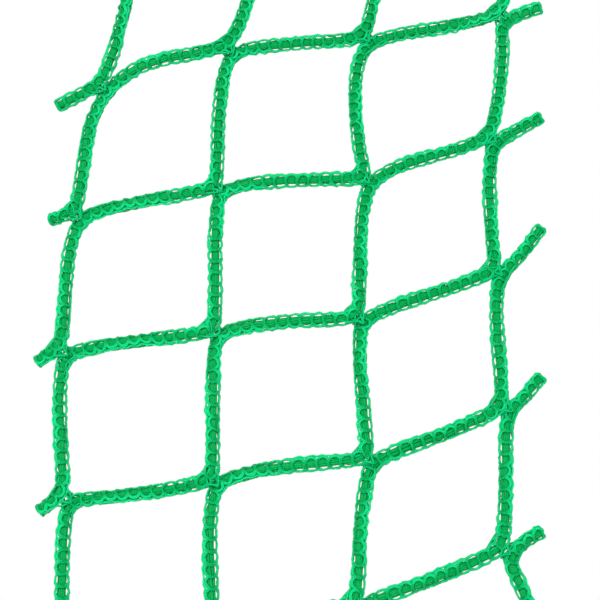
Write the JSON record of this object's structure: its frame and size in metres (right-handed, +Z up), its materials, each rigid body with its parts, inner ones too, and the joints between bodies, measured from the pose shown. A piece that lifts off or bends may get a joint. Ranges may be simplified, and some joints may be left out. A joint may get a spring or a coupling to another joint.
{
  "type": "knotless square-mesh netting",
  "caption": "Hanging panel of thick green knotless netting: knitted cords that run stair-wise through the net and join side by side at the corners of square meshes.",
  "frame": {"origin": "where the middle hook bears, at the underside of the middle leg of the top row of meshes", "axes": "+X along the level legs to the right, +Y through the net away from its front, +Z up"},
  "size_m": [0.1097, 0.0101, 0.159],
  "materials": {
    "chain_yarn": "glossy, slightly translucent monofilament",
    "inlay_yarn": "glossy monofilament"
  },
  "bodies": {
    "root": {"wale_1_chain": "chain_yarn", "wale_1_inlay": "inlay_yarn", "wale_2_chain": "chain_yarn", "wale_2_inlay": "inlay_yarn", "wale_3_chain": "chain_yarn", "wale_3_inlay": "inlay_yarn", "wale_4_chain": "chain_yarn", "wale_4_inlay": "inlay_yarn", "wale_5_chain": "chain_yarn", "wale_5_inlay": "inlay_yarn", "wale_6_chain": "chain_yarn", "wale_6_inlay": "inlay_yarn", "wale_7_chain": "chain_yarn", "wale_7_inlay": "inlay_yarn", "wale_8_chain": "chain_yarn", "wale_8_inlay": "inlay_yarn", "wale_9_chain": "chain_yarn", "wale_9_inlay": "inlay_yarn"}
  },
  "joints": []
}
